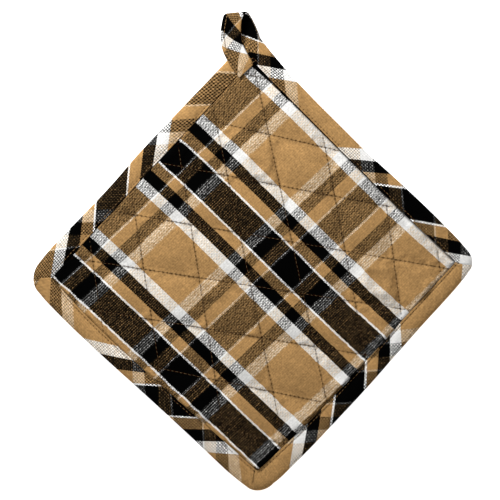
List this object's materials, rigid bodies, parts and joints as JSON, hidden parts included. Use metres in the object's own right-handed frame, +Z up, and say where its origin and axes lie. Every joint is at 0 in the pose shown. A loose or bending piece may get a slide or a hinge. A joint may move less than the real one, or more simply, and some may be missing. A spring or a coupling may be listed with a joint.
{
  "type": "pot holder",
  "caption": "Square quilted pot holder: a filled pad with diagonal quilting, bound in bias strip whose tail is folded over and sewn down as a hanging loop.",
  "frame": {"origin": "under the middle of the part's bounding box, on the surface that it lies on", "axes": "+Z up out of the quilted face, +Y towards the corner with the hanging loop"},
  "size_m": [0.2734, 0.298, 0.0093],
  "materials": {
    "quilted_plaid": "plain-woven brushed cotton in a brown, black and off-white plaid, quilted in brown thread",
    "bias_plaid": "the same plaid cotton cut on the bias, folded and topstitched in brown thread",
    "strip_plaid": "the same plaid cotton as a narrow bias strip, edge stitched"
  },
  "bodies": {
    "root": {"quilted_pad": "quilted_plaid", "edge_binding": "bias_plaid", "hanging_loop": "strip_plaid"}
  },
  "joints": []
}
